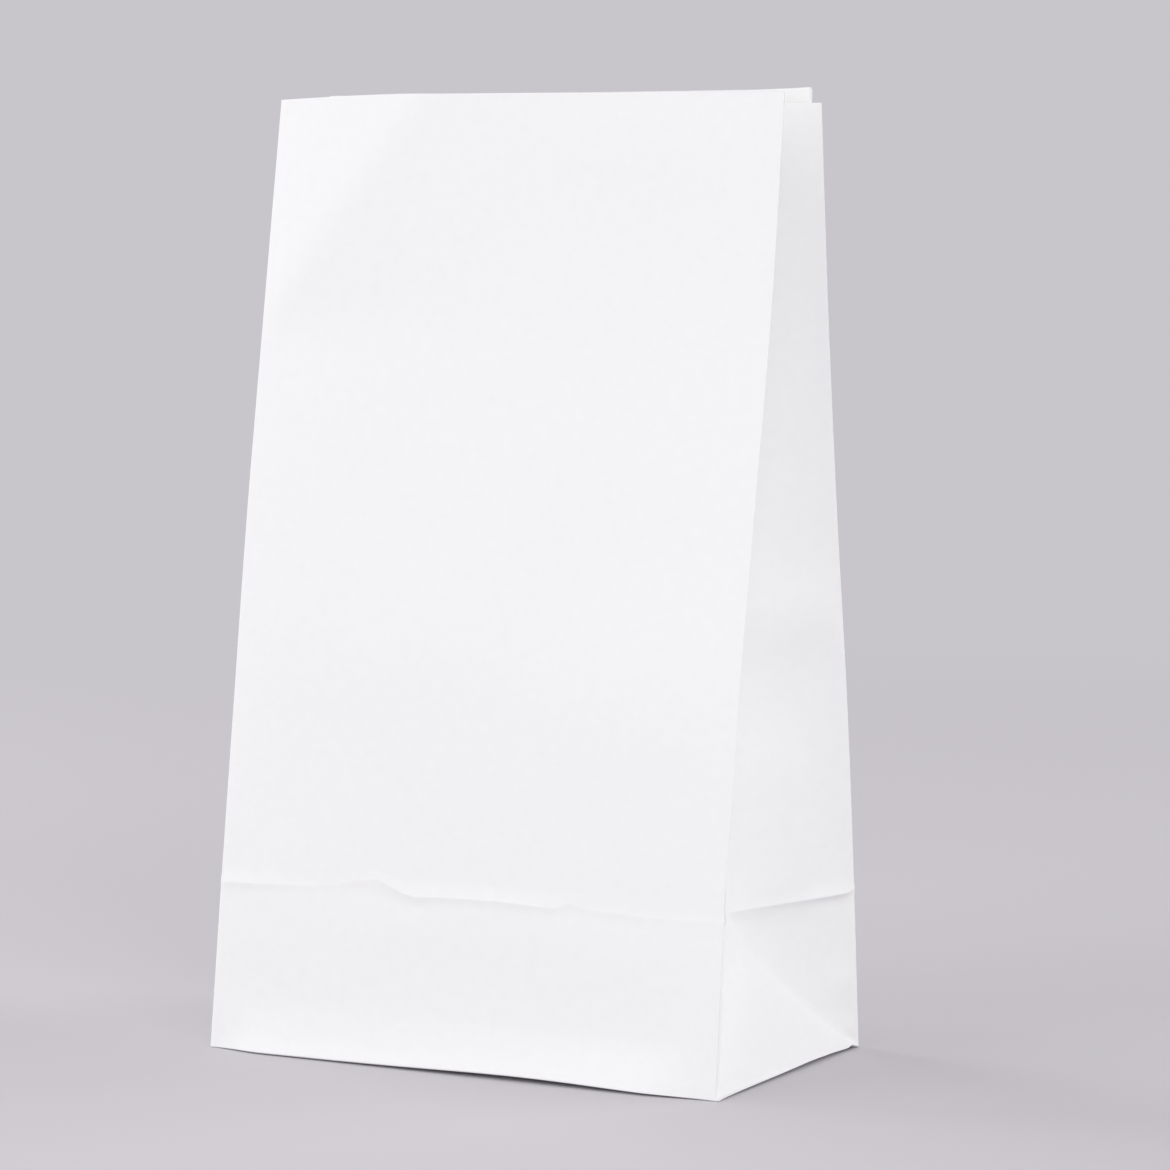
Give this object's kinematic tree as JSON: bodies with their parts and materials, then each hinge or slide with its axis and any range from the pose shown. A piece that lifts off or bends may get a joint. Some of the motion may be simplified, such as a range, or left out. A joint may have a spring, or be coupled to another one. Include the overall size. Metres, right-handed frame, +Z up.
{
  "type": "paper bag",
  "caption": "Small white block-bottom paper bag with gusseted sides, standing open and empty, rear panel a little taller at the mouth.",
  "frame": {"origin": "middle of the base, on the surface that the bag stands on", "axes": "+Z up to the mouth, -Y out of the front panel, X along the front panel from fold to fold"},
  "size_m": [0.12, 0.07, 0.2041],
  "materials": {
    "paper": "matt white machine-glazed kraft paper"
  },
  "bodies": {
    "root": {"paper_bag": "paper"}
  },
  "joints": []
}
